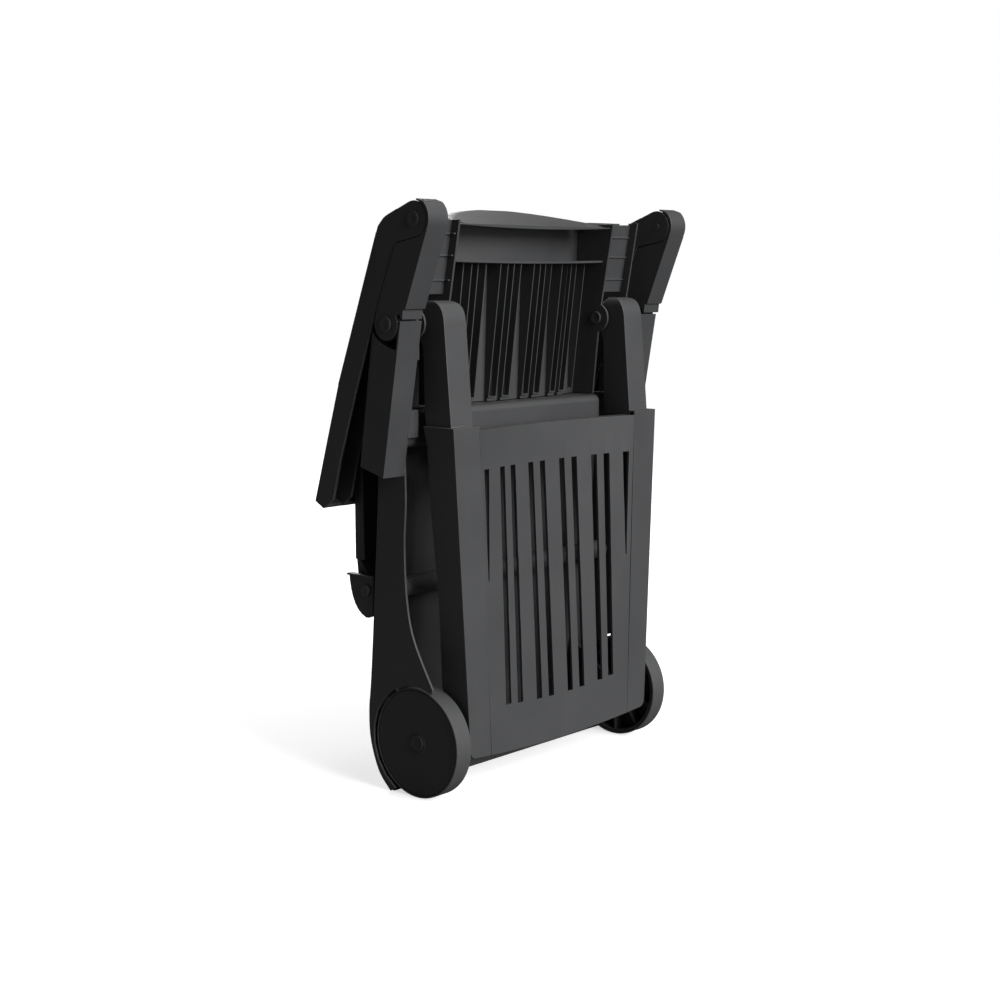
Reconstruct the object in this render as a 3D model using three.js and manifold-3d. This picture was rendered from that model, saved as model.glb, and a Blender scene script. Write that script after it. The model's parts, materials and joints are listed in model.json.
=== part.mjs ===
// Folding utility trolley on two wheels, shown folded, as separate moulded pieces.
// Millimetres. X runs across the trolley, Y towards its back and Z up.
// The working frame has its origin on the floor under the axle; the group is then moved along Y so that
// the origin is the middle of the footprint.
import * as THREE from 'three';
import { mergeVertices } from 'three/addons/utils/BufferGeometryUtils.js';
import Module from 'manifold-3d';

const wasm = await Module();
wasm.setup();

// ---- driving dimensions ----
const wheelRadius = 75;
const wheelWidth = 28;
const wheelOuterX = 230;
const trayHalfWidth = 272;
const cheekOuterX = 232.7;
const cheekInnerX = 229;
const postInnerX = 233.1;
const wall = 3.5;
const gap = 0.4; // left between pieces that touch
const originShiftY = -36;

// hinge lines, all along X, as [y, z]
const axleLine = [0, wheelRadius];
const mainPivot = [9, 632];
const trayPivot = [-40, 763];
const shelfPivot = [94, 271];

const pinRadius = 6;
const smallPinRadius = 4;
const trayFootRadius = 22.5;
const linkHubRadius = 21;

// slots, as distances from the middle plane, the same in the front panel and the upper panel
const slotCentres = [-113, -88, -47, -21, 21, 47, 88, 113];

const plastic = { color: 0x3c3d3e, roughness: 0.55, metalness: 0 };
const tread = { color: 0x2f3031, roughness: 0.8, metalness: 0 };
const steel = { color: 0x8c8f92, roughness: 0.35, metalness: 1 };

const sides = [
  { name: 'left', sign: -1 },
  { name: 'right', sign: 1 },
];

// ---- helpers ----
const group = new THREE.Group();
const acrossBasis = new THREE.Matrix4().makeBasis(
  new THREE.Vector3(0, 1, 0), new THREE.Vector3(0, 0, 1), new THREE.Vector3(1, 0, 0));

function solid(geometry) {
  geometry.deleteAttribute('normal');
  geometry.deleteAttribute('uv');
  const merged = mergeVertices(geometry, 1e-4);
  return new wasm.Manifold(new wasm.Mesh({
    numProp: 3,
    vertProperties: new Float32Array(merged.attributes.position.array),
    triVerts: new Uint32Array(merged.index.array),
  }));
}

function addMesh(name, shape, look) {
  const mesh = shape.getMesh();
  const geometry = new THREE.BufferGeometry();
  geometry.setAttribute('position', new THREE.BufferAttribute(mesh.vertProperties, 3));
  geometry.setIndex(new THREE.BufferAttribute(mesh.triVerts, 1));
  geometry.computeVertexNormals();
  const node = new THREE.Mesh(geometry, new THREE.MeshStandardMaterial(look));
  node.name = name;
  group.add(node);
}

function join(parts) {
  return parts.reduce((whole, part) => whole.add(part));
}

function points(list) {
  return list.map(([a, b]) => new THREE.Vector2(a, b));
}

function outline(list) {
  return new THREE.Shape(points(list));
}

// a (y, z) outline carried along X between |x| = near and far, on the side given by sign;
// flare moves it outwards by that much for each millimetre above flareFrom
function acrossX(shape, sign, near, far, { curveSegments = 6, flare = 0, flareFrom = 0 } = {}) {
  const depth = far - near;
  const geometry = new THREE.ExtrudeGeometry(shape, { depth, bevelEnabled: false, curveSegments });
  geometry.applyMatrix4(acrossBasis);
  geometry.translate(sign > 0 ? near : -far, 0, 0);
  geometry.applyMatrix4(new THREE.Matrix4().set(
    1, 0, sign * flare, -sign * flare * flareFrom,
    0, 1, 0, 0,
    0, 0, 1, 0,
    0, 0, 0, 1));
  return solid(geometry);
}

// an (x, z) outline carried back along Y from y = front;
// lean moves it back by that much for each millimetre below leanFrom
function alongY(shape, front, depth, { curveSegments = 6, lean = 0, leanFrom = 0 } = {}) {
  const geometry = new THREE.ExtrudeGeometry(shape, { depth, bevelEnabled: false, curveSegments });
  geometry.rotateX(Math.PI / 2);
  geometry.translate(0, front + depth, 0);
  geometry.applyMatrix4(new THREE.Matrix4().set(
    1, 0, 0, 0,
    0, 1, -lean, lean * leanFrom,
    0, 0, 1, 0,
    0, 0, 0, 1));
  return solid(geometry);
}

// a (y, z) outline carried along X across the whole middle of the trolley
function acrossMiddle(shape, halfWidth, curveSegments = 6) {
  const depth = 2 * halfWidth;
  const geometry = new THREE.ExtrudeGeometry(shape, { depth, bevelEnabled: false, curveSegments });
  geometry.applyMatrix4(acrossBasis);
  geometry.translate(-halfWidth, 0, 0);
  return solid(geometry);
}

// a round bar on a hinge line, between |x| = near and far
function bar([y, z], sign, near, far, radius, segments = 12) {
  const circle = new THREE.Shape().absarc(y, z, radius, 0, Math.PI * 2, false);
  return acrossX(circle, sign, near, far, { curveSegments: segments });
}

// a box bent into shape: place turns (u, v, w), each 0 to 1, into a point; u runs along X, v along Y, w up
function warpedSlab(columns, rows, place) {
  const geometry = new THREE.BoxGeometry(1, 1, 1, columns, 1, rows);
  const position = geometry.attributes.position;
  for (let i = 0; i < position.count; i += 1) {
    position.setXYZ(i, ...place(position.getX(i) + 0.5, position.getY(i) + 0.5, position.getZ(i) + 0.5));
  }
  return solid(geometry);
}

function block(sign, near, far, y0, y1, z0, z1) {
  return acrossX(outline([[y0, z0], [y1, z0], [y1, z1], [y0, z1]]), sign, near, far);
}

// the angle at which the line from an outside point touches a circle
function tangentAngle([cy, cz], radius, [py, pz], turn) {
  const towards = Math.atan2(pz - cz, py - cy);
  return towards + turn * Math.acos(radius / Math.hypot(py - cy, pz - cz));
}

// the value at t on the straight line through two [t, value] pairs
function onLine([t0, v0], [t1, v1], t) {
  return v0 + (v1 - v0) * (t - t0) / (t1 - t0);
}

// ---- running gear ----
const wheelInnerX = wheelOuterX - wheelWidth;

function wheels() {
  const discRadius = 72.1;
  const capRadius = 12;
  for (const { name, sign } of sides) {
    const band = bar(axleLine, sign, wheelInnerX, wheelOuterX, wheelRadius, 32)
      .subtract(bar(axleLine, sign, wheelInnerX - 1, wheelOuterX + 1, discRadius + gap, 32));
    addMesh(`tyre_${name}`, band, tread);
    const hollow = bar(axleLine, sign, wheelInnerX - 1, wheelOuterX - 6, discRadius - 4, 24)
      .subtract(bar(axleLine, sign, wheelInnerX - 2, wheelOuterX, 14, 12));
    const disc = bar(axleLine, sign, wheelInnerX + 0.5, wheelOuterX - 0.6, discRadius, 32)
      .subtract(hollow)
      .subtract(bar(axleLine, sign, wheelInnerX - 1, wheelOuterX + 1, pinRadius + gap))
      .subtract(bar(axleLine, sign, wheelOuterX - 3, wheelOuterX + 1, capRadius + gap, 12));
    addMesh(`wheel_disc_${name}`, disc, plastic);
    const cap = bar(axleLine, sign, wheelOuterX - 3 + gap, wheelOuterX + 0.6, capRadius, 12);
    addMesh(`hub_cap_${name}`, cap, plastic);
  }
}

function axle() {
  const circle = new THREE.Shape().absarc(axleLine[0], axleLine[1], pinRadius, 0, Math.PI * 2, false);
  addMesh('axle', acrossMiddle(circle, wheelOuterX - 3, 12), steel);
}

// Bearing plates that carry the axle inside the wheels.
const bracketInnerX = 194;
const bracketOuterX = 200.5;

function axleBrackets() {
  const hub = 14;
  for (const { name, sign } of sides) {
    const shape = new THREE.Shape();
    shape.moveTo(79, 140);
    shape.lineTo(4, 88);
    shape.absarc(axleLine[0], axleLine[1], hub, Math.PI * 0.45, Math.PI * 1.55, false);
    shape.lineTo(74, 44);
    shape.closePath();
    const plate = acrossX(shape, sign, bracketInnerX, bracketOuterX)
      .subtract(bar(axleLine, sign, bracketInnerX - 1, bracketOuterX + 1, pinRadius + gap));
    addMesh(`axle_bracket_${name}`, plate, plastic);
  }
}

// ---- rear frame ----
// The back line of the legs, from the foot up, as [y, z].
const legBack = [
  [47, 0], [69, 24], [84, 64], [87, 105], [83, 148], [77, 232], [69, 358], [64, 450], [54, 560]];

// Leg cheek: a thin plate from the upright box down to the foot, open round the wheel.
function legCheeks() {
  const archRadius = 78.5;
  const archFront = THREE.MathUtils.degToRad(114);
  const archFoot = THREE.MathUtils.degToRad(-62);
  const shape = new THREE.Shape();
  shape.moveTo(20, 560);
  shape.lineTo(17, 470);
  shape.splineThru(points([[15, 401], [18, 341], [14, 268], [1, 215], [-33, 154]]));
  shape.absarc(axleLine[0], axleLine[1], archRadius, archFront, archFoot, true);
  shape.lineTo(...legBack[0]);
  shape.splineThru(points(legBack.slice(1)));
  shape.closePath();
  for (const { name, sign } of sides) {
    const cheek = acrossX(shape, sign, cheekInnerX, cheekOuterX, { curveSegments: 5 });
    addMesh(`leg_cheek_${name}`, cheek, plastic);
  }
}

// Rear panel: a skin between the cheeks along the same back line, curling under as the foot.
function rearPanel() {
  const back = new THREE.SplineCurve(points(legBack)).getPoints(24);
  const inner = back.map((point, i) => {
    const before = back[Math.max(i - 1, 0)];
    const after = back[Math.min(i + 1, back.length - 1)];
    const along = after.clone().sub(before).normalize();
    return new THREE.Vector2(point.x - along.y * wall, point.y + along.x * wall);
  });
  inner[0].set(back[0].x - wall - 1, 0);
  const shape = new THREE.Shape([...back, ...inner.reverse()]);
  const clearance = join(sides.map(({ sign }) => (
    block(sign, bracketInnerX - gap, bracketOuterX + gap, 40, 80, 30, 150))));
  // its top edge stays below the upper panel
  const overTop = acrossMiddle(outline([[40, 519], [80, 519], [80, 570], [40, 570]]), cheekInnerX);
  addMesh('rear_panel', acrossMiddle(shape, cheekInnerX - gap).subtract(clearance.add(overTop)), plastic);
}

// Upright box beside each pivot: four walls, open at the bottom, with a lug for the main pin.
function uprights() {
  const postOuterX = trayHalfWidth;
  const front = (z) => onLine([636, -17], [434, 16], z);
  const back = (z) => onLine([622, 34], [446, 58], z);
  const outer = new THREE.Shape();
  outer.moveTo(front(636), 636);
  outer.lineTo(front(434), 434);
  outer.lineTo(back(446), 446);
  outer.lineTo(back(622), 622);
  outer.quadraticCurveTo(20, 601, front(600) + wall, 600);
  outer.lineTo(front(636) + wall, 636);
  outer.closePath();
  const hollow = outline([
    [front(420) + wall, 420], [back(420) - wall, 420], [back(598) - wall, 598], [front(592) + wall, 592]]);
  const lugPlate = outline([[-11.5, 628], [-8, 598], [back(598), 598], [29.5, 628]]);
  for (const { name, sign } of sides) {
    const lugOuterX = postInnerX + 3;
    const post = join([
      acrossX(outer, sign, postInnerX, postOuterX)
        .subtract(acrossX(hollow, sign, lugOuterX, postOuterX - wall)),
      bar(mainPivot, sign, postInnerX, lugOuterX, linkHubRadius),
      acrossX(lugPlate, sign, postInnerX, lugOuterX),
      block(sign, 216, postInnerX + 2, 6, 14, 484, 520),
      block(sign, 223, postInnerX + 2, -3, 6, 585, 605),
    ]).subtract(bar(mainPivot, sign, postInnerX - 1, lugOuterX + 1, pinRadius + gap));
    addMesh(`upright_${name}`, post, plastic);
  }
}

// Upper crossbeam: a rounded beam between the cheeks, set back where the front arms pass it.
function upperCrossbeam() {
  const bottom = 470;
  const top = 520;
  const back = 42;
  const corner = 9;
  const section = (front) => {
    const shape = new THREE.Shape();
    shape.moveTo(front + corner, bottom);
    shape.lineTo(back, bottom);
    shape.lineTo(back, top);
    shape.lineTo(front + corner, top);
    shape.absarc(front + corner, top - corner, corner, Math.PI / 2, Math.PI, false);
    shape.lineTo(front, bottom + corner);
    shape.absarc(front + corner, bottom + corner, corner, Math.PI, Math.PI * 1.5, false);
    return shape;
  };
  const middle = acrossMiddle(section(0), 158, 3);
  const whole = acrossMiddle(section(15), cheekInnerX - gap, 3);
  addMesh('upper_crossbeam', middle.add(whole), plastic);
}

function lowerCrossbar() {
  const section = new THREE.Shape().absarc(50, 278, 14, 0, Math.PI * 2, false);
  addMesh('lower_crossbar', acrossMiddle(section, cheekInnerX - gap, 8), plastic);
}

// Upper panel: a bulged, slotted middle between two walls, with an open channel outside each wall.
const panelWallInnerX = 161;
const panelWallOuterX = 164.5;
const channelOuterX = 221.5;
const channelDepth = 16;
const panelBulge = 0.00074; // how much further back the middle's surfaces lie, times x squared
const slotHalf = 5.5;
const rimHalf = 7.8;

function plateFront(x, z) {
  return 27.5 + 0.03 * (735 - z) + panelBulge * x ** 2;
}

function rimFront(x, z) {
  return 3.2 + 0.1233 * (707 - z) + panelBulge * x ** 2;
}

// the space between two bulged surfaces, across the middle of the panel
function bulgedSpace(front, back, low, high) {
  const half = panelWallInnerX + 1;
  return warpedSlab(14, 2, (u, v, w) => {
    const x = half * (2 * u - 1);
    const z = low + (high - low) * w;
    return [x, front(x, z) * (1 - v) + back(x, z) * v, z];
  });
}

// U-shaped rims that stand out of the plate round each slot, with a tab under each
function slotRims() {
  const bottom = 525.5;
  const top = 712;
  const ring = (x, half, low) => alongY(outline([
    [x - half, low], [x + half, low], [x + half, top], [x - half, top]]), -60, 160);
  const rims = slotCentres.map((x) => (
    ring(x, rimHalf, bottom).subtract(ring(x, rimHalf - 1.6, bottom + 2))));
  const edges = [-145, 145].map((x) => ring(x, 0.9, bottom + 4));
  const deep = (x, z) => plateFront(x, z) + 1;
  const standing = join([...rims, ...edges]).intersect(bulgedSpace(rimFront, deep, 500, 730));
  const tabs = slotCentres.map((x) => alongY(outline([
    [x - 8, 521], [x + 8, 521], [x + 8, 525], [x - 8, 525]]), -60, 160));
  const tabFront = (x, z) => rimFront(x, z) + 2;
  return standing.add(join(tabs).intersect(bulgedSpace(tabFront, deep, 500, 540)));
}

function bowedFlange(level, sag, thickness, front) {
  const half = panelWallInnerX + 1;
  const shape = new THREE.Shape();
  shape.moveTo(-half, level - thickness);
  shape.quadraticCurveTo(0, level - thickness - 2 * sag, half, level - thickness);
  shape.lineTo(half, level);
  shape.quadraticCurveTo(0, level - 2 * sag, -half, level);
  const ahead = bulgedSpace(() => -60, (x, z) => plateFront(x, z) + 1, 690, 730);
  return alongY(shape, front, 70).intersect(ahead);
}

function upperPanel() {
  const wallFront = (z) => onLine([765, -19], [651, 1], z);
  const top = 764.5;
  const plateBack = (x, z) => plateFront(x, z) + 3;
  const slots = join(slotCentres.map((x) => alongY(outline([
    [x - slotHalf, 528], [x + slotHalf, 528], [x + slotHalf, 704], [x - slotHalf, 704]]), 0, 80)));
  const pieces = [
    bulgedSpace(plateFront, plateBack, 521, top).subtract(slots),
    slotRims(),
    bowedFlange(714, 2, 3, -1),
  ];
  // the wall beside the slots, with a boss on the main pivot and set back below it
  const innerWall = new THREE.Shape();
  innerWall.moveTo(wallFront(765), 765);
  innerWall.lineTo(wallFront(651), 651);
  innerWall.absarc(mainPivot[0], mainPivot[1], 20, Math.PI * 0.72, Math.PI * 1.45, false);
  innerWall.lineTo(9, 583);
  innerWall.lineTo(15, 521);
  innerWall.lineTo(56, 521);
  innerWall.lineTo(50, 765);
  const outerWall = new THREE.Shape();
  outerWall.moveTo(wallFront(768), 768);
  outerWall.lineTo(wallFront(651), 651);
  outerWall.absarc(mainPivot[0], mainPivot[1], 20, Math.PI * 0.72, Math.PI * 2.1, false);
  outerWall.lineTo(wallFront(768) + channelDepth, 768);
  const floorLine = (z) => wallFront(z) + channelDepth;
  const channelFloor = outline([
    [floorLine(765) - 3, 765], [floorLine(669) - 3, 669], [floorLine(669), 669], [floorLine(765), 765]]);
  const channelTop = outline([[14, 768], [14, 761.2], [44, 761.2], [44, 768]]);
  for (const { sign } of sides) {
    pieces.push(acrossX(innerWall, sign, panelWallInnerX, panelWallOuterX));
    pieces.push(acrossX(outerWall, sign, channelOuterX - 3, channelOuterX));
    pieces.push(acrossX(channelFloor, sign, panelWallOuterX - 1, channelOuterX - 1));
    pieces.push(acrossX(channelTop, sign, 149, channelOuterX - 1));
    // low ribs across the channel's floor and up its inner side
    for (const z of [686, 718, 746]) {
      const floor = floorLine(z) - 2.5;
      pieces.push(block(sign, panelWallOuterX - 1, channelOuterX - 1, floor - 3, floor, z, z + 2));
      pieces.push(block(sign, panelWallOuterX - 1, panelWallOuterX + 3, wallFront(z) + 3, floor, z, z + 2));
    }
  }
  const pinHoles = sides.map(({ sign }) => bar(mainPivot, sign, 150, 225, pinRadius + gap));
  const whole = pinHoles.reduce((left, hole) => left.subtract(hole), join(pieces));
  addMesh('upper_panel', whole, plastic);
}

// Carry grip: a shell that rises backwards from the panel's top edge, arched in the middle.
function carryGrip() {
  const half = panelWallInnerX - gap;
  const arch = new THREE.Shape();
  arch.moveTo(-half, 759);
  arch.quadraticCurveTo(0, 752, half, 759);
  arch.lineTo(half, 762);
  arch.quadraticCurveTo(0, 805, -half, 762);
  const shell = outline([[-16, 748], [-16, 760], [74, 784], [74, 779], [-11, 756.5], [-11, 748]]);
  const blank = alongY(arch, -20, 90, { curveSegments: 14 });
  const ends = join(sides.map(({ sign }) => block(sign, 148.6, 170, -30, 80, 760.5, 800)));
  addMesh('carry_grip', blank.intersect(acrossMiddle(shell, half + 1)).subtract(ends), plastic);
}

// Shelf bracket: a plate behind each leg that holds the shelf's pin, with a lip along its top.
function shelfBrackets() {
  const near = 222.5;
  const shape = new THREE.Shape();
  shape.moveTo(80, 292);
  shape.lineTo(82, 240);
  shape.quadraticCurveTo(86, 232, 96, 233);
  shape.quadraticCurveTo(122, 242, 127, 284);
  shape.lineTo(128, 292);
  for (const { name, sign } of sides) {
    const plate = acrossX(shape, sign, near, cheekInnerX - gap)
      .add(block(sign, near, cheekOuterX, 80, 128, 289, 292))
      .subtract(bar(shelfPivot, sign, near - 1, cheekOuterX + 1, smallPinRadius + gap));
    addMesh(`shelf_bracket_${name}`, plate, plastic);
  }
}

// ---- pins ----
function pins() {
  const innerEnd = 157.5;
  for (const { name, sign } of sides) {
    const main = join([
      bar(mainPivot, sign, innerEnd, panelWallInnerX - gap, 9),
      bar(mainPivot, sign, innerEnd, trayHalfWidth + 3, pinRadius),
      bar(mainPivot, sign, trayHalfWidth + 0.5 + gap, trayHalfWidth + 3, 10),
    ]);
    addMesh(`main_pivot_pin_${name}`, main, plastic);
    const tray = join([
      bar(trayPivot, sign, 235.6, trayHalfWidth + 2, pinRadius),
      bar(trayPivot, sign, trayHalfWidth + gap, trayHalfWidth + 2, 10),
    ]);
    addMesh(`tray_pivot_pin_${name}`, tray, plastic);
    const shelf = join([
      bar(shelfPivot, sign, 206, cheekInnerX + 4, smallPinRadius),
      bar(shelfPivot, sign, cheekInnerX, cheekInnerX + 4, 8),
    ]);
    addMesh(`shelf_pin_${name}`, shelf, plastic);
  }
}

// ---- front panel ----
const frontSlope = 0.0158;
const frontAtFloor = -65.9;
const panelTop = 499;
const panelBottom = 57;
const stileTopX = 218;
const stileBottomX = 192;
const stileFlare = (stileTopX - stileBottomX) / (panelTop - panelBottom);
const seamTopX = 168;
const seamFlare = 0.0386;
const bow = 7.5;
const insertTop = 493;

function frontY(z) {
  return frontAtFloor + frontSlope * z;
}

function bottomEdge(x) {
  return panelBottom - bow * (1 - (x / stileBottomX) ** 2);
}

// half width of the slat insert, and how far its middle is dished back behind the stiles
function insertHalf(z) {
  return seamTopX + seamFlare * (z - panelTop) - gap;
}

function dish(x, z) {
  return 0.045 * Math.max(z - 60, 0) * (1 - (x / seamTopX) ** 2);
}

// Slat insert: a dished sheet with the slots cut through it and stiffening ribs behind.
function slatInsert() {
  const sheet = (left, right, low, high, near, depth, columns) => warpedSlab(columns, 4, (u, v, w) => {
    const z = low + (high - low) * w;
    const x = Math.max(Math.min(onLine([0, left], [1, right], u), insertHalf(z)), -insertHalf(z));
    return [x, frontY(z) + dish(x, z) + near + depth * v, z];
  });
  const slotTop = 441;
  const cuts = slotCentres.map((x) => {
    const slotBottom = 111 + 6 * (Math.abs(x) / 113) ** 2;
    const slot = outline([
      [x - 5.7, slotBottom], [x + 5.7, slotBottom], [x + 5.7, slotTop], [x - 5.7, slotTop]]);
    return alongY(slot, -90, 90);
  });
  for (const sign of [-1, 1]) {
    const taper = outline([
      [sign * 145, slotTop], [sign * 157, slotTop], [sign * 151, 291], [sign * 149, 291]]);
    cuts.push(alongY(taper, -90, 90));
  }
  const skin = warpedSlab(12, 5, (u, v, w) => {
    const z = insertTop * w + bottomEdge(insertHalf(panelBottom) * (2 * u - 1)) * (1 - w);
    const x = insertHalf(z) * (2 * u - 1);
    return [x, frontY(z) + dish(x, z) + 4 * v, z];
  });
  const pieces = [cuts.reduce((left, cut) => left.subtract(cut), skin)];
  for (const x of [-67, 0, 67]) {
    pieces.push(sheet(x - 2, x + 2, 70, insertTop - 2, 3, 12, 1));
  }
  pieces.push(sheet(-150, 150, 92, 96, 3, 16, 8));
  pieces.push(sheet(-165, 165, insertTop - 4, insertTop, 3, 16, 8));
  addMesh('slat_insert', join(pieces), plastic);
}

// Side frame: stile with its side wall, and the arm above it that hangs on the main pivot.
const armInnerX = 169;
const armOuterX = 211;

function sideFrames() {
  const corner = 11;
  const sideWall = outline([
    [frontY(70), 70], [frontY(panelTop), panelTop], [-4, panelTop], [-9, 472], [-10, 413], [-13, 347],
    [-18, 267], [-17, 150], [-38, 72]]);
  const seamWall = outline([[frontY(64) + 3, 64], [frontY(492) + 3, 492], [-34, 492], [-36, 64]]);
  // arm seen from the side: front face, rounded top, hub on the main pivot
  const armFoot = panelTop - 8;
  const arm = new THREE.Shape();
  arm.moveTo(-48, armFoot);
  arm.lineTo(-35.5, 632);
  arm.quadraticCurveTo(-33, 660, -12, 661);
  arm.lineTo(-2, 661);
  arm.absarc(mainPivot[0], mainPivot[1], 19, Math.PI * 0.55, -Math.PI * 0.5, true);
  arm.lineTo(3, 600);
  arm.lineTo(0, 516);
  arm.lineTo(-5, armFoot);
  const armHollow = outline([[-43, 505], [-31.5, 632], [-24, 653], [0, 655], [40, 640], [40, 505]]);
  for (const { name, sign } of sides) {
    const at = (x) => sign * x;
    const face = new THREE.Shape();
    face.moveTo(at(seamTopX), panelTop);
    face.lineTo(at(stileTopX), panelTop);
    face.lineTo(at(stileBottomX + 0.7), panelBottom + corner);
    const cornerEnd = stileBottomX - corner;
    face.quadraticCurveTo(at(stileBottomX), panelBottom, at(cornerEnd), bottomEdge(cornerEnd));
    face.lineTo(at(insertHalf(panelBottom) + gap), bottomEdge(insertHalf(panelBottom)));
    face.closePath();
    // arm seen from the front, its inner top corner well rounded
    const armFront = new THREE.Shape();
    armFront.moveTo(at(armInnerX), armFoot);
    armFront.lineTo(at(armOuterX), armFoot);
    armFront.lineTo(at(armOuterX), 656);
    armFront.quadraticCurveTo(at(armOuterX), 662, at(armOuterX - 6), 662);
    armFront.lineTo(at(armInnerX + 14), 662);
    armFront.quadraticCurveTo(at(armInnerX), 662, at(armInnerX), 648);
    const armSolid = acrossX(arm, sign, armInnerX, armOuterX)
      .subtract(acrossX(armHollow, sign, armInnerX + wall, armOuterX - wall))
      .intersect(alongY(armFront, -80, 140))
      .subtract(bar(mainPivot, sign, armInnerX - 1, armOuterX + 1, pinRadius + gap));
    const frame = join([
      alongY(face, frontAtFloor, 4, { lean: -frontSlope }),
      acrossX(sideWall, sign, stileTopX - wall, stileTopX, { flare: stileFlare, flareFrom: panelTop }),
      acrossX(seamWall, sign, seamTopX, seamTopX + 3, { flare: seamFlare, flareFrom: panelTop }),
      block(sign, armInnerX, stileTopX - 1, frontY(panelTop) + 1, -5, panelTop - 4, panelTop),
      armSolid,
    ]);
    addMesh(`side_frame_${name}`, frame, plastic);
  }
}

// ---- links and top tray ----
const linkInnerX = 236.5;
const linkOuterX = 272.5;
const notch = [-7, 734];
const shoulder = [20, 763];
const shoulderStart = [4, 769.5];
const shoulderEnd = [25.6, 748];

// Link: hub on the main pivot, straight body, and a hood round the tray's foot.
function links() {
  const hoodInner = trayFootRadius + 0.8;
  const hoodFront = THREE.MathUtils.degToRad(201);
  const hoodTop = THREE.MathUtils.degToRad(130);
  const hoodEnd = THREE.MathUtils.degToRad(102);
  const footLine = tangentAngle(trayPivot, hoodInner, notch, -1) + 2 * Math.PI;
  const frontFace = [[-64, 749], [-26, 651]];
  const body = new THREE.Shape();
  body.moveTo(frontFace[1][0], frontFace[1][1]);
  body.lineTo(frontFace[0][0], frontFace[0][1]);
  body.absarc(trayPivot[0], trayPivot[1], 27.4, hoodFront, hoodTop, true);
  body.lineTo(trayPivot[0] + 25.5 * Math.cos(hoodEnd), trayPivot[1] + 25.5 * Math.sin(hoodEnd));
  body.absarc(trayPivot[0], trayPivot[1], hoodInner, hoodEnd, footLine, false);
  body.lineTo(notch[0] - 0.6, notch[1] - 1);
  body.lineTo(22.4, 659);
  const hubBack = THREE.MathUtils.degToRad(22);
  const hubFront = THREE.MathUtils.degToRad(-210);
  body.absarc(mainPivot[0], mainPivot[1], linkHubRadius, hubBack, hubFront, true);
  // a thin tongue hangs in front of the upright, clear of its top edge as the link turns
  for (const point of [[-14.8, 645.7], [-18.2, 638.2], [-21, 638.2], [-22.5, 651]]) {
    body.lineTo(...point);
  }
  body.closePath();
  // a pocket open towards the tray's rail, where it can't be seen while folded
  const pocket = outline([[-17, 668], [-43, 734], [-20, 731], [10, 740], [40, 668]]);
  for (const { name, sign } of sides) {
    const link = join([
      acrossX(body, sign, linkInnerX, linkOuterX, { curveSegments: 8 })
        .subtract(acrossX(pocket, sign, linkInnerX + wall, linkOuterX - wall)),
      bar(trayPivot, sign, 241.5, 267, 21),
      acrossX(outline([[-58, 745], [-22, 745], [-22, 735], [-50, 730]]), sign, 241.5, 267),
    ])
      .subtract(bar(mainPivot, sign, linkInnerX - 1, linkOuterX + 1, pinRadius + gap))
      .subtract(bar(trayPivot, sign, linkInnerX - 1, linkOuterX + 1, pinRadius + gap));
    addMesh(`link_${name}`, link, plastic);
  }
}

// Top tray, folded down behind the frame: a panel between two hollow rails whose feet hang on the links.
function topTray() {
  const backLine = [shoulder, [99, 551], [147, 393]];
  const tip = [131, 384];
  const footTop = tangentAngle(trayPivot, trayFootRadius, shoulder, 1);
  const footBottom = tangentAngle(trayPivot, trayFootRadius, notch, -1);
  const side = new THREE.Shape();
  side.moveTo(23.5, 659);
  side.lineTo(...notch);
  side.absarc(trayPivot[0], trayPivot[1], trayFootRadius, footBottom, footTop, true);
  side.lineTo(...shoulderStart);
  side.quadraticCurveTo(...shoulder, ...shoulderEnd);
  for (const point of [...backLine.slice(1), tip, [111, 398], [97, 451], [63, 551]]) {
    side.lineTo(...point);
  }
  side.closePath();
  const skin = 4;
  const inset = ([y, z], depth) => [y - depth, z + depth * 0.4];
  const strip = (top) => outline([
    top, backLine[1], backLine[2], tip, [tip[0] - 2, tip[1] + 4.5], inset(backLine[2], skin + 1),
    [backLine[1][0] - skin, backLine[1][1] - 1], [top[0] - skin, top[1] - 1]]);
  const panelTopZ = 650;
  const ribTopZ = 646;
  const onBack = (z) => onLine([763, 20], [551, 99], z);
  const panelStart = [onBack(panelTopZ), panelTopZ];
  const footCover = new THREE.Shape();
  footCover.moveTo(-12, 776);
  footCover.lineTo(...shoulderStart);
  footCover.quadraticCurveTo(...shoulder, ...shoulderEnd);
  footCover.lineTo(shoulderEnd[0] - skin, shoulderEnd[1] - 1.4);
  footCover.quadraticCurveTo(17, 758.5, 2.6, 765.6);
  footCover.lineTo(-13, 771.9);
  const pieces = [acrossMiddle(strip(panelStart), 238)];
  for (const x of [-150, -75, 0, 75, 150]) {
    const rib = outline([
      [onBack(ribTopZ), ribTopZ], backLine[1], backLine[2],
      inset(backLine[2], 10), [backLine[1][0] - 10, backLine[1][1] - 4],
      [onBack(ribTopZ) - 8, ribTopZ - 6]]);
    pieces.push(acrossX(rib, 1, x - 1.5, x + 1.5));
  }
  for (const { sign } of sides) {
    const clear = bar(trayPivot, sign, 240, 268, 23);
    const rail = join([
      acrossX(side, sign, trayHalfWidth - wall, trayHalfWidth, { curveSegments: 8 }),
      acrossX(side, sign, 236, 239.5, { curveSegments: 8 }),
      acrossX(strip(shoulderEnd), sign, 236, trayHalfWidth),
      acrossX(footCover, sign, 236, trayHalfWidth).subtract(clear),
    ]).subtract(bar(trayPivot, sign, 230, 280, pinRadius + gap));
    pieces.push(rail);
  }
  addMesh('top_tray', join(pieces), plastic);
}

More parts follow.
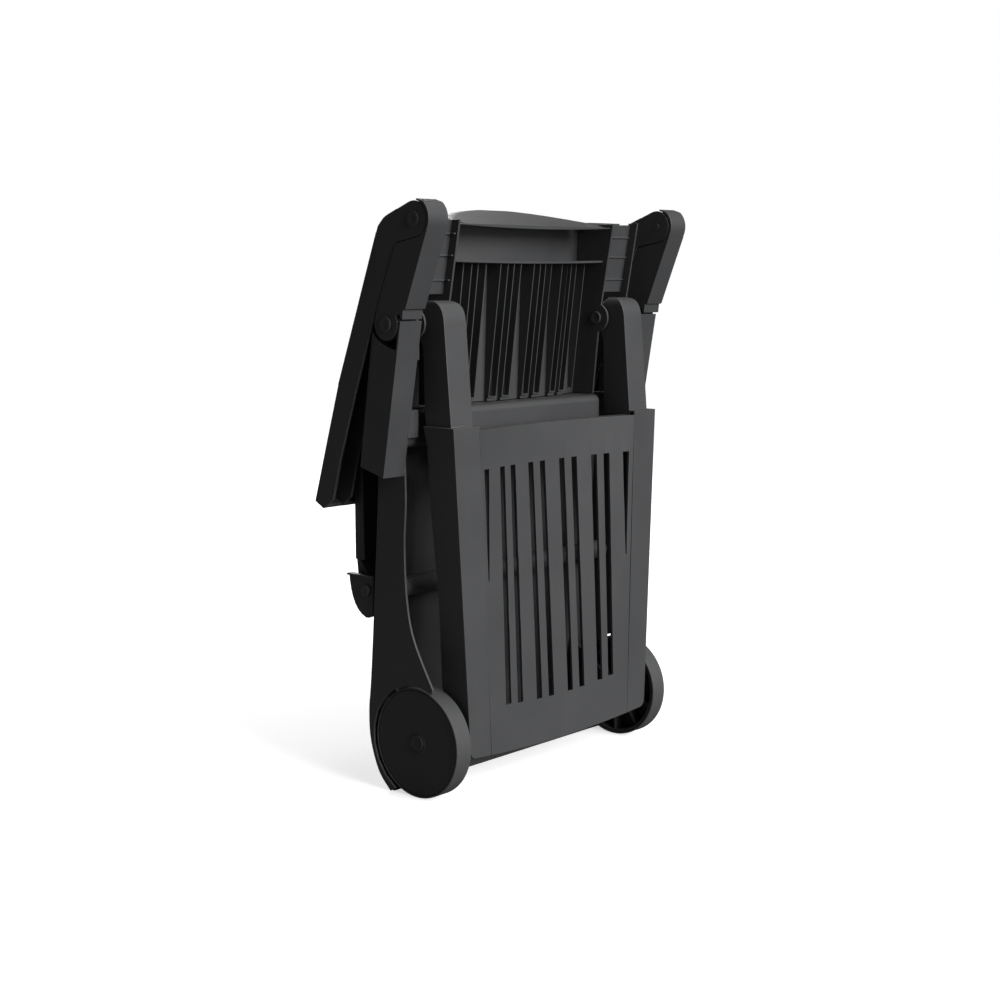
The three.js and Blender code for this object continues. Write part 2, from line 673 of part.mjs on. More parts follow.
// ---- load shelf ----
function loadShelf() {
  const half = 220;
  const top = 436;
  const panel = outline([[112, 284], [118, 283], [123, 330], [124, top], [119, top], [118, 330]]);
  const arm = new THREE.Shape();
  arm.absarc(shelfPivot[0], shelfPivot[1], 9, Math.PI * 0.75, Math.PI * 1.75, false);
  arm.lineTo(118, 283);
  arm.lineTo(121, 310);
  arm.lineTo(115, 310);
  arm.closePath();
  const arms = sides.map(({ sign }) => acrossX(arm, sign, 207, half));
  const flanges = sides.map(({ sign }) => (
    acrossX(outline([[106, 310], [123, 310], [124, top], [110, top]]), sign, half - wall, half)));
  const lip = acrossMiddle(outline([[110, top - 4], [124, top - 4], [124, top], [110, top]]), half);
  let shelf = join([acrossMiddle(panel, half), ...arms, ...flanges, lip]);
  for (const { sign } of sides) {
    shelf = shelf.subtract(bar(shelfPivot, sign, 200, 225, smallPinRadius + gap));
  }
  addMesh('load_shelf', shelf, plastic);
}

// ---- assembly ----
wheels();
axle();
axleBrackets();
legCheeks();
rearPanel();
uprights();
upperCrossbeam();
lowerCrossbar();
upperPanel();
carryGrip();
shelfBrackets();
pins();
slatInsert();
sideFrames();
links();
topTray();
loadShelf();

group.position.y = originShiftY;

export default group;
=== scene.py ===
import json
import math

import bmesh
import bpy
from mathutils import Matrix, Vector
from mathutils.bvhtree import BVHTree


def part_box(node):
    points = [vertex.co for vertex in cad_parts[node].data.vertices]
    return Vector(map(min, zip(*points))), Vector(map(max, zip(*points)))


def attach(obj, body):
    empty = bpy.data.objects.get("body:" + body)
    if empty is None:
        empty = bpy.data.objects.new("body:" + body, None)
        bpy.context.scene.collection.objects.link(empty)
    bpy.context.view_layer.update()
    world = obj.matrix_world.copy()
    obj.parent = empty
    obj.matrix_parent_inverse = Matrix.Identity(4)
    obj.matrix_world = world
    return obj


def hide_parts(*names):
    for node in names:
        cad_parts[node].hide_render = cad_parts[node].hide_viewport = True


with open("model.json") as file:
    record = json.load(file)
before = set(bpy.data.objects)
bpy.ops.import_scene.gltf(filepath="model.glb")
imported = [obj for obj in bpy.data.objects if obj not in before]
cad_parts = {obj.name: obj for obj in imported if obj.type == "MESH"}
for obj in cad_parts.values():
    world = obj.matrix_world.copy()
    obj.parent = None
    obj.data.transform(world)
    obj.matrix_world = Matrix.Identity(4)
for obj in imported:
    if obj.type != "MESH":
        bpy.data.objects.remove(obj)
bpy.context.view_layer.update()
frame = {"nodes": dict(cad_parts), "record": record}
nodes = frame["nodes"]
bodyOf = {n: body for body, members in frame["record"]["behaviour"]["bodies"].items() for n in members}
slotOf = {part["node"]: part["material_slot"] for part in frame["record"]["subparts"]}
print("frame loaded:", len(nodes), "nodes")

mm = 0.001
sides = {"left": -1, "right": 1}


def addNode(tree, kind, at, **values):
    node = tree.nodes.new(kind)
    node.location = at
    for key, value in values.items():
        if key in node.inputs:
            node.inputs[key].default_value = value
        else:
            setattr(node, key, value)
    return node


# joins an output to a socket, or sets the socket where a plain value is given
def feed(tree, value, socket):
    if hasattr(value, "is_linked"):
        tree.links.new(value, socket)
    else:
        socket.default_value = value


def addMath(tree, at, operation, first, second):
    node = addNode(tree, "ShaderNodeMath", at, operation=operation)
    feed(tree, first, node.inputs[0])
    feed(tree, second, node.inputs[1])
    return node.outputs[0]


def addNoise(tree, at, vector, scale, **values):
    node = addNode(tree, "ShaderNodeTexNoise", at, **values)
    feed(tree, vector, node.inputs["Vector"])
    feed(tree, scale, node.inputs["Scale"])
    return node.outputs["Fac"]


def addRange(tree, at, value, source=(0, 1), target=(0, 1)):
    node = addNode(tree, "ShaderNodeMapRange", at)
    node.inputs["From Min"].default_value, node.inputs["From Max"].default_value = source
    node.inputs["To Min"].default_value, node.inputs["To Max"].default_value = target
    tree.links.new(value, node.inputs["Value"])
    return node.outputs["Result"]


def startGroup(name, inputs, outputs):
    group = bpy.data.node_groups.new(name, "ShaderNodeTree")
    for label, kind, value in inputs:
        socket = group.interface.new_socket(label, in_out="INPUT", socket_type=kind)
        if value is not None:
            socket.default_value = value
    for label in outputs:
        group.interface.new_socket(label, in_out="OUTPUT", socket_type="NodeSocketFloat")
    return group, group.nodes.new("NodeGroupInput").outputs, group.nodes.new("NodeGroupOutput").inputs


# fine spark-eroded grain of a moulding tool, plus the faint flow marks under it
def buildGrainGroup():
    group, given, result = startGroup("mouldedGrain", [
        ("Vector", "NodeSocketVector", None),
        ("Grain Scale", "NodeSocketFloat", 900.0),
        ("Flow Scale", "NodeSocketFloat", 9.0),
        ("Flow Share", "NodeSocketFloat", 0.25),
    ], ["Height", "Flow"])
    fine = addNoise(group, (-300, 150), given["Vector"], given["Grain Scale"], Detail=2.0, Roughness=0.6)
    flow = addNoise(group, (-300, -150), given["Vector"], given["Flow Scale"],
                    Detail=4.0, Roughness=0.55, Distortion=0.8)
    share = addMath(group, (0, -50), "MULTIPLY", flow, given["Flow Share"])
    group.links.new(addMath(group, (200, 100), "ADD", fine, share), result["Height"])
    group.links.new(flow, result["Flow"])
    return group


# how far a point is onto a worn edge, from 0 on a flat to 1 on a corner, in broken patches
def buildEdgeGroup():
    group, given, result = startGroup("edgeWear", [
        ("Vector", "NodeSocketVector", None),
        ("Width", "NodeSocketFloat", 0.0016),
        ("Breakup Scale", "NodeSocketFloat", 60.0),
        ("Amount", "NodeSocketFloat", 0.6),
    ], ["Mask"])
    rounded = addNode(group, "ShaderNodeBevel", (-500, 100), samples=4)
    group.links.new(given["Width"], rounded.inputs["Radius"])
    surface = addNode(group, "ShaderNodeNewGeometry", (-500, -100))
    facing = addNode(group, "ShaderNodeVectorMath", (-300, 50), operation="DOT_PRODUCT")
    group.links.new(rounded.outputs["Normal"], facing.inputs[0])
    group.links.new(surface.outputs["True Normal"], facing.inputs[1])
    turned = addRange(group, (-100, 50), facing.outputs["Value"], source=(0.99, 0.8))
    breakup = addNoise(group, (-300, -250), given["Vector"], given["Breakup Scale"],
                       Detail=3.0, Roughness=0.6)
    broken = addRange(group, (-100, -250), breakup, source=(0.38, 0.62))
    worn = addMath(group, (100, 0), "MULTIPLY", turned, broken)
    group.links.new(addMath(group, (280, 0), "MULTIPLY", worn, given["Amount"]), result["Mask"])
    return group


# dust that settles on what faces up
def buildDustGroup():
    group, given, result = startGroup("restingDust", [
        ("Vector", "NodeSocketVector", None),
        ("Patch Scale", "NodeSocketFloat", 14.0),
        ("Amount", "NodeSocketFloat", 0.25),
    ], ["Mask"])
    surface = addNode(group, "ShaderNodeNewGeometry", (-500, 100))
    parts = addNode(group, "ShaderNodeSeparateXYZ", (-300, 100))
    group.links.new(surface.outputs["True Normal"], parts.inputs[0])
    upward = addRange(group, (-100, 100), parts.outputs["Z"], source=(0.2, 1))
    patches = addNoise(group, (-300, -150), given["Vector"], given["Patch Scale"], Detail=6.0, Roughness=0.7)
    settled = addMath(group, (100, 0), "MULTIPLY", upward, patches)
    group.links.new(addMath(group, (280, 0), "MULTIPLY", settled, given["Amount"]), result["Mask"])
    return group


grainGroup = buildGrainGroup()
edgeGroup = buildEdgeGroup()
dustGroup = buildDustGroup()


def placeGroup(tree, group, at, vector, **values):
    node = tree.nodes.new("ShaderNodeGroup")
    node.node_tree = group
    node.location = at
    tree.links.new(vector, node.inputs["Vector"])
    for key, value in values.items():
        node.inputs[key.replace("_", " ")].default_value = value
    return node


def mixColour(tree, at, factor, first, second):
    node = addNode(tree, "ShaderNodeMix", at, data_type="RGBA")
    for value, socket in ((factor, node.inputs[0]), (first, node.inputs[6]), (second, node.inputs[7])):
        feed(tree, value, socket)
    return node.outputs[2]


def startMaterial(name):
    material = bpy.data.materials.new(name)
    material.use_nodes = True
    tree = material.node_tree
    place = addNode(tree, "ShaderNodeTexCoord", (-1400, 0)).outputs["Object"]
    return material, tree, place


# colour, a roughness that follows the pattern, and a fine relief
def finishSurface(tree, tone, pattern, height, settings):
    shader = tree.nodes["Principled BSDF"]
    tree.links.new(tone, shader.inputs["Base Color"])
    rough = addRange(tree, (-400, -100), pattern, target=settings["roughness"])
    tree.links.new(rough, shader.inputs["Roughness"])
    bump = addNode(tree, "ShaderNodeBump", (-200, -300),
                   Strength=settings["bump"], Distance=settings["bumpDepth"])
    tree.links.new(height, bump.inputs["Height"])
    tree.links.new(bump.outputs["Normal"], shader.inputs["Normal"])
    return shader


def makePlastic(name, settings):
    material, tree, place = startMaterial(name)
    grain = placeGroup(tree, grainGroup, (-900, 200), place,
                       Grain_Scale=settings["grainScale"], Flow_Share=settings["flowShare"])
    worn = placeGroup(tree, edgeGroup, (-900, -50), place,
                      Amount=settings["wear"], Width=settings["wearWidth"])
    dust = placeGroup(tree, dustGroup, (-900, -300), place, Amount=settings["dust"])
    tone = mixColour(tree, (-600, 200), grain.outputs["Flow"], settings["deep"], settings["light"])
    tone = mixColour(tree, (-400, 200), worn.outputs["Mask"], tone, settings["rubbed"])
    tone = mixColour(tree, (-200, 200), dust.outputs["Mask"], tone, settings["dustColour"])
    shader = finishSurface(tree, tone, grain.outputs["Flow"], grain.outputs["Height"], settings)
    shader.inputs["Specular IOR Level"].default_value = settings["specular"]
    return material


plasticLook = {
    "deep": (0.027, 0.0275, 0.029, 1), "light": (0.040, 0.0405, 0.042, 1),
    "rubbed": (0.085, 0.086, 0.089, 1), "dustColour": (0.11, 0.107, 0.10, 1),
    "grainScale": 950.0, "flowShare": 0.25, "wear": 0.35, "wearWidth": 1.4 * mm, "dust": 0.12,
    "roughness": (0.44, 0.58), "bump": 0.22, "bumpDepth": 0.25 * mm, "specular": 0.42,
}
frameLook = dict(plasticLook, grainScale=820.0)
panelLook = dict(plasticLook, deep=(0.030, 0.0305, 0.032, 1), light=(0.042, 0.0425, 0.044, 1), bump=0.18)
trayLook = dict(plasticLook, grainScale=880.0, flowShare=0.4)
pinLook = dict(plasticLook, roughness=(0.34, 0.48), bump=0.1, wear=0.6)
wheelLook = dict(plasticLook, deep=(0.020, 0.0205, 0.022, 1), light=(0.031, 0.0315, 0.033, 1),
                 roughness=(0.50, 0.64))

framePlastic = makePlastic("framePlastic", frameLook)
panelPlastic = makePlastic("panelPlastic", panelLook)
trayPlastic = makePlastic("trayPlastic", trayLook)
pinPlastic = makePlastic("pinPlastic", pinLook)
wheelPlastic = makePlastic("wheelPlastic", wheelLook)


treadLook = {
    "deep": (0.030, 0.0305, 0.0315, 1), "light": (0.044, 0.0445, 0.0455, 1),
    "rubbed": (0.075, 0.074, 0.072, 1), "wear": 0.5, "wearWidth": 2.0 * mm,
    "grainScale": 600.0, "flowShare": 0.3, "pitch": 1.5 * mm, "randomness": 0.35,
    "roughness": (0.64, 0.80), "bump": 0.5, "bumpDepth": 0.3 * mm,
}


# tread: small cells of relief round the band, worn lighter at its shoulders
def makeTread(name, settings):
    material, tree, place = startMaterial(name)
    grain = placeGroup(tree, grainGroup, (-900, 300), place,
                       Grain_Scale=settings["grainScale"], Flow_Share=settings["flowShare"])
    worn = placeGroup(tree, edgeGroup, (-900, 50), place,
                      Amount=settings["wear"], Width=settings["wearWidth"])
    cells = addNode(tree, "ShaderNodeTexVoronoi", (-900, -250),
                    Scale=1 / settings["pitch"], Randomness=settings["randomness"])
    tree.links.new(place, cells.inputs["Vector"])
    relief = addMath(tree, (-600, -200), "ADD", cells.outputs["Distance"], grain.outputs["Height"])
    tone = mixColour(tree, (-500, 250), grain.outputs["Flow"], settings["deep"], settings["light"])
    tone = mixColour(tree, (-300, 250), worn.outputs["Mask"], tone, settings["rubbed"])
    finishSurface(tree, tone, grain.outputs["Flow"], relief, settings)
    return material


steelLook = {
    "dark": (0.30, 0.31, 0.32, 1), "bright": (0.46, 0.47, 0.48, 1), "stretch": (4, 900, 900),
    "roughness": (0.28, 0.46), "bump": 0.15, "bumpDepth": 0.1 * mm,
}


# drawn steel: fine lines along the bar
def makeSteel(name, settings):
    material, tree, place = startMaterial(name)
    stretch = addNode(tree, "ShaderNodeMapping", (-1000, 0), Scale=settings["stretch"])
    tree.links.new(place, stretch.inputs["Vector"])
    lines = addNoise(tree, (-800, 0), stretch.outputs["Vector"], 1.0, Detail=3.0)
    tone = mixColour(tree, (-400, 200), lines, settings["dark"], settings["bright"])
    shader = finishSurface(tree, tone, lines, lines, settings)
    shader.inputs["Metallic"].default_value = 1.0
    return material


treadRubber = makeTread("treadRubber", treadLook)
drawnSteel = makeSteel("drawnSteel", steelLook)
print("materials built:", len(bpy.data.materials))


# how every mesh is cleaned and smoothed; angles in degrees
meshCare = {
    "mergeWithin": 0.02 * mm, "mergeSpun": 0.01 * mm,
    "flatWithin": 0.15, "sharpFrom": 30, "smoothBelow": 38,
    "narrow": 6,   # a flat edge nearer than this to a sharp one keeps it from being rounded
    "strayShare": 0.45,   # how far a rounded point may lie off the first surface, over the width
}


def linkObject(name, data):
    holder = bpy.data.objects.new(name, data)
    bpy.context.scene.collection.objects.link(holder)
    return holder


def finishPiece(name, bm, node, material):
    mesh = bpy.data.meshes.new(name)
    bm.to_mesh(mesh)
    bm.free()
    for face in mesh.polygons:
        face.use_smooth = True
    mesh.set_sharp_from_angle(angle=math.radians(meshCare["smoothBelow"]))
    mesh.materials.append(material)
    piece = linkObject(name, mesh)
    even = piece.modifiers.new("evenNormals", "WEIGHTED_NORMAL")
    even.keep_sharp = True
    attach(piece, bodyOf[node])
    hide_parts(node)
    return piece


# a CAD node's own shape with its triangles merged into flat faces, each split until it is convex
def cleanCopy(node):
    bm = bmesh.new()
    bm.from_mesh(nodes[node].data)
    bmesh.ops.remove_doubles(bm, verts=bm.verts, dist=meshCare["mergeWithin"])
    bmesh.ops.dissolve_limit(bm, angle_limit=math.radians(meshCare["flatWithin"]), verts=bm.verts,
                             edges=bm.edges, use_dissolve_boundaries=False)
    bmesh.ops.connect_verts_concave(bm, faces=bm.faces)
    return bm


# sharp edges, less those that a flat edge leaves at a narrow angle: rounding one of these tears the face
def sharpEdges(bm):
    limit = math.radians(meshCare["sharpFrom"])
    sharp = [e for e in bm.edges if e.is_manifold and e.calc_face_angle() > limit]
    rounded = set(sharp)

    def isCrowded(edge):
        for vert in edge.verts:
            along = edge.other_vert(vert).co - vert.co
            for other in vert.link_edges:
                away = other.other_vert(vert).co - vert.co
                if other not in rounded and along.angle(away, 0) < math.radians(meshCare["narrow"]):
                    return True
        return False

    return [e for e in sharp if not isCrowded(e)]


# rounds the sharp edges, then sets any point thrown clear of the first surface back onto it
def roundEdges(bm, width, segments):
    surface = BVHTree.FromBMesh(bm)
    bmesh.ops.bevel(bm, geom=sharpEdges(bm), offset=width, offset_type="OFFSET", segments=segments,
                    profile=0.5, affect="EDGES", clamp_overlap=False, material=-1)
    for vert in bm.verts:
        spot, _, _, gap = surface.find_nearest(vert.co)
        if gap > meshCare["strayShare"] * width:
            vert.co = spot


# where a node's middle lies across X, and its ends outwards and inwards on its own side
def ends(node, sign):
    low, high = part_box(node)
    middle = (low + high) / 2
    outer, inner = (low.x, high.x) if sign < 0 else (high.x, low.x)
    return Vector((0, middle.y, middle.z)), outer, inner


# a round piece: a profile of (x, radius) pairs spun round the line through centre along X
def spinRound(profile, centre, steps, closed=False):
    bm = bmesh.new()
    verts = [bm.verts.new((x, centre.y, centre.z + r)) for x, r in profile]
    edges = [bm.edges.new(pair) for pair in zip(verts, verts[1:])]
    if closed:
        edges.append(bm.edges.new((verts[-1], verts[0])))
    bmesh.ops.spin(bm, geom=verts + edges, cent=centre, axis=(1, 0, 0), angle=math.tau, steps=steps,
                   use_merge=True, use_duplicate=False)
    bmesh.ops.remove_doubles(bm, verts=bm.verts, dist=meshCare["mergeSpun"])
    bmesh.ops.recalc_face_normals(bm, faces=bm.faces)
    return bm


# every moulded piece is its CAD shape with the soft edges of a moulding
softening = {
    "leg_cheek": {"width": 0.9 * mm, "segments": 2, "material": framePlastic},
    "rear_panel": {"width": 0.8 * mm, "segments": 2, "material": framePlastic},
    "upright": {"width": 0.9 * mm, "segments": 3, "material": framePlastic},
    "upper_crossbeam": {"width": 0.9 * mm, "segments": 2, "material": framePlastic},
    "lower_crossbar": {"width": 0.8 * mm, "segments": 2, "material": framePlastic},
    "upper_panel": {"width": 0.5 * mm, "segments": 2, "material": framePlastic},
    "carry_grip": {"width": 0.6 * mm, "segments": 2, "material": framePlastic},
    "shelf_bracket": {"width": 0.7 * mm, "segments": 2, "material": framePlastic},
    "axle_bracket": {"width": 0.7 * mm, "segments": 2, "material": framePlastic},
    "slat_insert": {"width": 0.5 * mm, "segments": 2, "material": panelPlastic},
    "side_frame": {"width": 0.9 * mm, "segments": 3, "material": panelPlastic},
    "link": {"width": 0.9 * mm, "segments": 3, "material": trayPlastic},
    "top_tray": {"width": 0.9 * mm, "segments": 2, "material": trayPlastic},
    "load_shelf": {"width": 0.8 * mm, "segments": 2, "material": trayPlastic},
}


for node in nodes:
    family = node.replace("_left", "").replace("_right", "")
    if family in softening:
        settings = softening[family]
        bm = cleanCopy(node)
        roundEdges(bm, settings["width"], settings["segments"])
        piece = finishPiece(node + "_moulding", bm, node, settings["material"])
        print("softened", node, len(piece.data.polygons), "faces")


tyre = {
    "steps": 96,
    "shoulder": 1.6 * mm,   # rounding of the tread's edges
    "shoulderSteps": 4,
    "innerRadius": 72.5 * mm,
    "innerEdge": 0.5 * mm,
}


def arcPoints(centre, radius, start, end, count):
    turn = [math.radians(start + (end - start) * i / count) for i in range(count + 1)]
    return [(centre[0] + radius * math.cos(a), centre[1] + radius * math.sin(a)) for a in turn]


def makeTyre(side):
    node = "tyre_" + side
    low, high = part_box(node)
    centre, _, _ = ends(node, sides[side])
    radius = (high.z - low.z) / 2
    shoulder, steps = tyre["shoulder"], tyre["shoulderSteps"]
    bore, edge = tyre["innerRadius"], tyre["innerEdge"]
    profile = arcPoints((low.x + shoulder, radius - shoulder), shoulder, 180, 90, steps)
    profile += arcPoints((high.x - shoulder, radius - shoulder), shoulder, 90, 0, steps)
    profile += [(high.x, bore + edge), (high.x - edge, bore), (low.x + edge, bore), (low.x, bore + edge)]
    bm = spinRound(profile, centre, tyre["steps"], closed=True)
    finishPiece("wheelBand_" + side, bm, node, treadRubber)


disc = {
    "steps": 96,
    "radius": 72.1 * mm,
    # rounding of the rim, as (in from the face, down from the rim)
    "rimEdge": ((1.2 * mm, 0), (0.4 * mm, 0.3 * mm), (0, 1.0 * mm)),
    "rimInner": (6 * mm, 7 * mm),   # the step from the rim down to the face
    "faceDepth": 0.5 * mm,
    "collar": (3.4 * mm, 2.8 * mm, 1.0 * mm, 0.4 * mm),   # raised ring round the cap, past its radius
    "seatDepth": 2.4 * mm,   # where the cap stands
    "webDepth": 5.4 * mm,   # the outer face to the hollow's floor
    "hollowRadius": 68 * mm,
    "hollowEdge": 0.6 * mm,
    "hollowDraft": 1.0 * mm,
    "hubRadius": 14 * mm,
    "hubDraft": 0.8 * mm,
    "boreRadius": 6.4 * mm,
    "backEdge": 0.5 * mm,
    "spokes": 10,
    "spokeThickness": 2.4 * mm,
    "spokeStart": 5.2 * mm,   # in from the outer face
    "spokeShort": 8 * mm,   # how much less than the disc's width they are
    "spokeReach": 0.5 * mm,   # into the rim and the hub
}


def makeDisc(side):
    node = "wheel_disc_" + side
    centre, outer, inner = ends(node, sides[side])
    inward = -sides[side]
    d, cap = disc, hubCap["radius"]
    face = outer + inward * d["faceDepth"]
    floor = outer + inward * d["webDepth"]
    profile = [(outer + inward * inset, d["radius"] - drop) for inset, drop in d["rimEdge"]]
    profile += [(outer, d["radius"] - d["rimInner"][0]), (face, d["radius"] - d["rimInner"][1])]
    profile += [(x, cap + past) for x, past in zip((face, outer, outer, face), d["collar"])]
    seat = outer + inward * d["seatDepth"]
    profile += [
        (seat, cap + d["collar"][-1]), (seat, d["boreRadius"]),
        (inner, d["boreRadius"]), (inner, d["hubRadius"]),
        (floor, d["hubRadius"] + d["hubDraft"]), (floor, d["hollowRadius"] - d["hollowDraft"]),
        (inner - inward * d["hollowEdge"], d["hollowRadius"]),
        (inner, d["hollowRadius"] + d["hollowEdge"]),
        (inner, d["radius"] - d["backEdge"]), (inner - inward * d["backEdge"], d["radius"]),
    ]
    bm = spinRound(profile, centre, d["steps"], closed=True)
    addSpokes(bm, centre, outer, inner, inward)
    finishPiece("wheelDisc_" + side, bm, node, wheelPlastic)


# ribs inside the hollow, hub to rim
def addSpokes(bm, centre, outer, inner, inward):
    wide = abs(inner - outer) - disc["spokeShort"]
    long = disc["hollowRadius"] - disc["hubRadius"] + disc["spokeReach"]
    middle = (disc["hollowRadius"] + disc["hubRadius"]) / 2
    rib = bmesh.ops.create_cube(bm, size=1.0)["verts"]
    bmesh.ops.scale(bm, verts=rib, vec=(wide, disc["spokeThickness"], long))
    bmesh.ops.translate(bm, verts=rib, vec=(
        outer + inward * (disc["spokeStart"] + wide / 2), centre.y, centre.z + middle))
    ribFaces = list({face for vert in rib for face in vert.link_faces})
    for i in range(1, disc["spokes"]):
        turned = bmesh.ops.duplicate(bm, geom=ribFaces)["geom"]
        verts = [item for item in turned if isinstance(item, bmesh.types.BMVert)]
        bmesh.ops.rotate(bm, verts=verts, cent=centre,
                         matrix=Matrix.Rotation(math.tau * i / disc["spokes"], 3, "X"))


hubCap = {
    "steps": 48,
    "radius": 12 * mm,
    # the rounded edge and the dish, as (in from the face, down from the rim)
    "edge": ((1.0 * mm, 0), (0.5 * mm, 0.3 * mm), (0.15 * mm, 1.2 * mm), (0, 2.4 * mm),
             (0.3 * mm, 3.2 * mm)),
}


def makeHubCap(side):
    node = "hub_cap_" + side
    centre, outer, inner = ends(node, sides[side])
    inward = -sides[side]
    rounded = [(outer + inward * inset, hubCap["radius"] - drop) for inset, drop in hubCap["edge"]]
    profile = [(inner, 0), (inner, hubCap["radius"]), *rounded, (rounded[-1][0], 0)]
    finishPiece("hubCap_" + side, spinRound(profile, centre, hubCap["steps"]), node, wheelPlastic)


for side in sides:
    makeTyre(side)
    makeDisc(side)
    makeHubCap(side)
print("wheels made")


# pins: a head with a dished middle, and on the main pins a foot inside the wall
pins = {
    "main_pivot_pin": {"piece": "mainPin_", "shank": 6 * mm, "head": 10 * mm, "neck": 2.1 * mm,
                       "foot": 9 * mm},
    "tray_pivot_pin": {"piece": "trayPin_", "shank": 6 * mm, "head": 10 * mm, "neck": 1.6 * mm, "foot": 0},
    "shelf_pin": {"piece": "shelfPin_", "shank": 4 * mm, "head": 8 * mm, "neck": 4.0 * mm, "foot": 0},
}
pinEnd = {
    "steps": 40,
    "edge": 0.5 * mm,
    "ring": 0.62,   # where the dish begins, over the head's radius
    "ringWidth": 0.4 * mm,
    "dish": 0.45 * mm,
    "slope": 0.8 * mm,
    "footLength": 3.1 * mm,
    "footEdge": 0.6 * mm,
}


def makePin(family, side):
    node = family + "_" + side
    centre, outer, inner = ends(node, sides[side])
    inward = -sides[side]
    pin, p = pins[family], pinEnd
    shank, head, foot = pin["shank"], pin["head"], pin["foot"]
    neck = outer + inward * pin["neck"]
    dish = outer + inward * p["dish"]
    profile = [
        (dish, 0), (dish, head * p["ring"] - p["slope"]), (outer, head * p["ring"]),
        (outer, head - p["edge"] - p["ringWidth"]), (outer + inward * p["edge"], head),
        (neck, head), (neck, shank),
    ]
    if foot:
        start = inner - inward * p["footLength"]
        dish = inner - inward * p["dish"]
        profile += [
            (start, shank), (start, foot), (inner - inward * p["footEdge"], foot),
            (inner, foot - p["footEdge"]), (inner, foot * p["ring"]),
            (dish, foot * p["ring"] - p["slope"]), (dish, 0),
        ]
    else:
        profile += [(inner - inward * p["footEdge"], shank), (inner, shank - p["footEdge"]), (inner, 0)]
    finishPiece(pin["piece"] + side, spinRound(profile, centre, p["steps"]), node, pinPlastic)


for side in sides:
    for family in pins:
        makePin(family, side)
print("pins made")


axle = {"steps": 32, "edge": 0.8 * mm}


def makeAxle():
    low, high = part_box("axle")
    radius, edge = (high.z - low.z) / 2, axle["edge"]
    profile = [(low.x, 0), (low.x, radius - edge), (low.x + edge, radius),
               (high.x - edge, radius), (high.x, radius - edge), (high.x, 0)]
    centre, _, _ = ends("axle", 1)
    finishPiece("axleBar", spinRound(profile, centre, axle["steps"]), "axle", drawnSteel)


makeAxle()
print("axle made")

# hidden CAD nodes keep a finish of their own, so that none is left bare
for node, source in nodes.items():
    source.data.materials.clear()
    source.data.materials.append({"tread": treadRubber, "steel": drawnSteel}.get(slotOf[node], framePlastic))


studio = {
    "floorSize": 60.0,
    "floorPale": (0.62, 0.62, 0.62, 1),   # as the camera sees it
    "floorBounce": (0.16, 0.16, 0.16, 1),   # as it lights the trolley, so that its dark sides stay dark
    "floorGlow": 0.62,
    "floorRoughness": 0.9,
    "worldColour": (1, 1, 1, 1),
    "fillStrength": 0.075,
    "sun": {"from": (0.10, -1.0, 0.48), "strength": 4.4, "spread": 34},
    "lights": {
        "front": {"at": (-0.7, -3.4, 0.9), "size": 1.8, "power": 34},
        "top": {"at": (0.5, -0.6, 3.0), "size": 1.8, "power": 34},
        "back": {"at": (1.8, 3.0, 2.0), "size": 2.0, "power": 80},
    },
    "aim": (0, 0, 0.4),
    "camera": {"at": (-1.786, -1.551, 0.697), "pitch": 81.2, "yaw": -47.7, "lens": 60.34, "sensor": 36,
               "shift": (0.029, 0.032)},
}


# the floor is pale to the lens and mid grey to the light it throws back
def makeFloor():
    bm = bmesh.new()
    bmesh.ops.create_grid(bm, x_segments=8, y_segments=8, size=studio["floorSize"] / 2)
    mesh = bpy.data.meshes.new("studioFloor")
    bm.to_mesh(mesh)
    bm.free()
    floor = linkObject("studioFloor", mesh)
    material = bpy.data.materials.new("paleFloor")
    material.use_nodes = True
    tree = material.node_tree
    shader = tree.nodes["Principled BSDF"]
    shader.inputs["Roughness"].default_value = studio["floorRoughness"]
    shader.inputs["Specular IOR Level"].default_value = 0.0
    shader.inputs["Emission Color"].default_value = (1, 1, 1, 1)
    seen = addNode(tree, "ShaderNodeLightPath", (-800, 200)).outputs["Is Camera Ray"]
    tone = mixColour(tree, (-400, 0), seen, studio["floorBounce"], studio["floorPale"])
    tree.links.new(tone, shader.inputs["Base Color"])
    glow = addMath(tree, (-400, -200), "MULTIPLY", seen, studio["floorGlow"])
    tree.links.new(glow, shader.inputs["Emission Strength"])
    floor.data.materials.append(material)


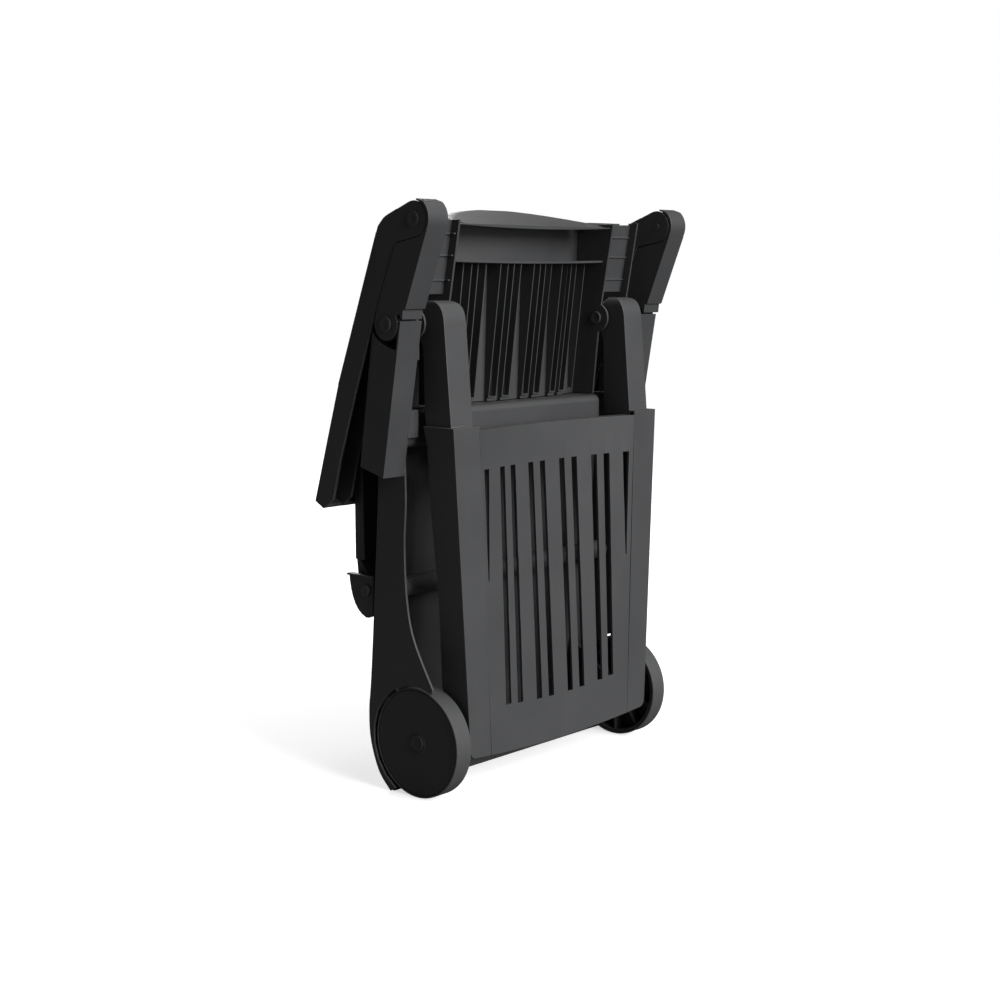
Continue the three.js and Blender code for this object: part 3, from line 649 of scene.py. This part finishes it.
def makeSun():
    settings = studio["sun"]
    lamp = bpy.data.lights.new("sunLight", "SUN")
    lamp.energy = settings["strength"]
    lamp.angle = math.radians(settings["spread"])
    sun = linkObject("sunLight", lamp)
    sun.rotation_euler = Vector(settings["from"]).to_track_quat("Z", "Y").to_euler()


def makeLight(name, settings):
    lamp = bpy.data.lights.new(name, "AREA")
    lamp.shape = "DISK"
    lamp.size = settings["size"]
    lamp.energy = settings["power"]
    holder = linkObject(name, lamp)
    holder.location = settings["at"]
    holder.rotation_euler = (Vector(studio["aim"]) - holder.location).to_track_quat("-Z", "Y").to_euler()


def makeWorld():
    world = bpy.data.worlds.new("studioWorld")
    bpy.context.scene.world = world
    world.use_nodes = True
    tree = world.node_tree
    fill = tree.nodes["Background"]
    fill.inputs["Color"].default_value = studio["worldColour"]
    fill.inputs["Strength"].default_value = studio["fillStrength"]
    # the camera sees the backdrop at full white, and everything else the weak fill
    seen = addNode(tree, "ShaderNodeBackground", (0, -200), Strength=1.0)
    seen.inputs["Color"].default_value = studio["worldColour"]
    path = addNode(tree, "ShaderNodeLightPath", (-200, 300))
    mix = addNode(tree, "ShaderNodeMixShader", (200, 100))
    tree.links.new(path.outputs["Is Camera Ray"], mix.inputs[0])
    tree.links.new(fill.outputs[0], mix.inputs[1])
    tree.links.new(seen.outputs[0], mix.inputs[2])
    tree.links.new(mix.outputs[0], tree.nodes["World Output"].inputs["Surface"])


def makeCamera():
    settings = studio["camera"]
    lens = bpy.data.cameras.new("studioCamera")
    lens.sensor_width = settings["sensor"]
    lens.lens = settings["lens"]
    lens.shift_x, lens.shift_y = settings["shift"]
    camera = linkObject("studioCamera", lens)
    camera.location = settings["at"]
    camera.rotation_euler = (math.radians(settings["pitch"]), 0, math.radians(settings["yaw"]))
    bpy.context.scene.camera = camera


makeFloor()
makeSun()
for name, settings in studio["lights"].items():
    makeLight(name + "Light", settings)
makeWorld()
makeCamera()
bpy.context.scene.view_settings.view_transform = "Standard"
print("studio ready")
